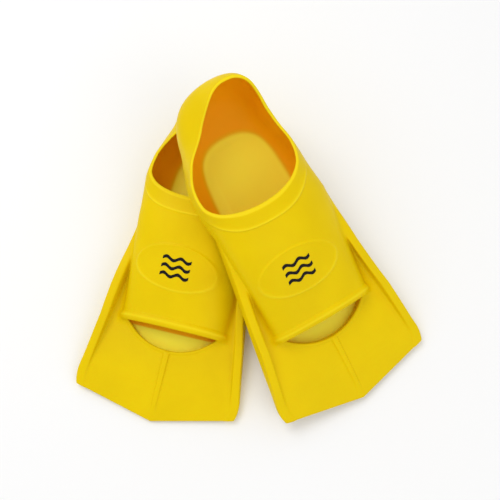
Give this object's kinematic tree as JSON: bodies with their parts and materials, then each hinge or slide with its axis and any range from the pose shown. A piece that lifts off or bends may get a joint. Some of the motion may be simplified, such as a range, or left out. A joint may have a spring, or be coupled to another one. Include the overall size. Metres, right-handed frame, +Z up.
{
  "type": "swim fins",
  "caption": "Pair of short closed-heel swim fins for pool training, with open-toe foot pockets, side rails and flexing chevron-tipped blades",
  "frame": {"origin": "Middle of the pair on the floor, under the centre of its bounding box", "axes": "+Z up, +Y from the blades towards the heels, +X from the lower fin to the upper fin"},
  "size_m": [0.3627, 0.3446, 0.1663],
  "materials": {
    "yellow_silicone": "satin moulded silicone, bright yellow",
    "footbed_silicone": "matte moulded silicone inside the foot pocket, bright yellow",
    "badge_silicone": "satin moulded silicone, raised oval",
    "black_print": "matte black pad print"
  },
  "bodies": {
    "left_fin": {"left_footbed": "footbed_silicone", "left_heel_cup": "yellow_silicone", "left_side_wall_left": "yellow_silicone", "left_side_wall_right": "yellow_silicone", "left_instep": "yellow_silicone", "left_collar": "yellow_silicone", "left_toe_lip": "yellow_silicone", "left_badge": "badge_silicone", "left_print_mark": "black_print", "left_blade_root": "yellow_silicone", "left_toe_arc_lip": "yellow_silicone", "left_rail_root_left": "yellow_silicone", "left_rail_root_right": "yellow_silicone"},
    "left_blade": {"left_blade_web": "yellow_silicone", "left_blade_rib": "yellow_silicone", "left_blade_rail_left": "yellow_silicone", "left_blade_rail_right": "yellow_silicone"},
    "right_fin": {"right_footbed": "footbed_silicone", "right_heel_cup": "yellow_silicone", "right_side_wall_left": "yellow_silicone", "right_side_wall_right": "yellow_silicone", "right_instep": "yellow_silicone", "right_collar": "yellow_silicone", "right_toe_lip": "yellow_silicone", "right_badge": "badge_silicone", "right_print_mark": "black_print", "right_blade_root": "yellow_silicone", "right_toe_arc_lip": "yellow_silicone", "right_rail_root_left": "yellow_silicone", "right_rail_root_right": "yellow_silicone"},
    "right_blade": {"right_blade_web": "yellow_silicone", "right_blade_rib": "yellow_silicone", "right_blade_rail_left": "yellow_silicone", "right_blade_rail_right": "yellow_silicone"}
  },
  "joints": [
    {"name": "right_fin_lift", "type": "slide", "parent": "left_fin", "child": "right_fin", "axis": [0, 0, 1], "range_m": [0, 0.15]},
    {"name": "left_blade_flex", "type": "hinge", "parent": "left_fin", "child": "left_blade", "pos_m": [-0.08919, -0.11042, 0.0092], "axis": [-0.9732, 0.23, 0], "range_deg": [-25, 25], "stiffness_Nm_per_rad": 1.2},
    {"name": "right_blade_flex", "type": "hinge", "parent": "right_fin", "child": "right_blade", "pos_m": [0.08975, -0.09488, 0.02679], "axis": [-0.8557, -0.509, 0.093], "range_deg": [-25, 25], "stiffness_Nm_per_rad": 1.2}
  ]
}
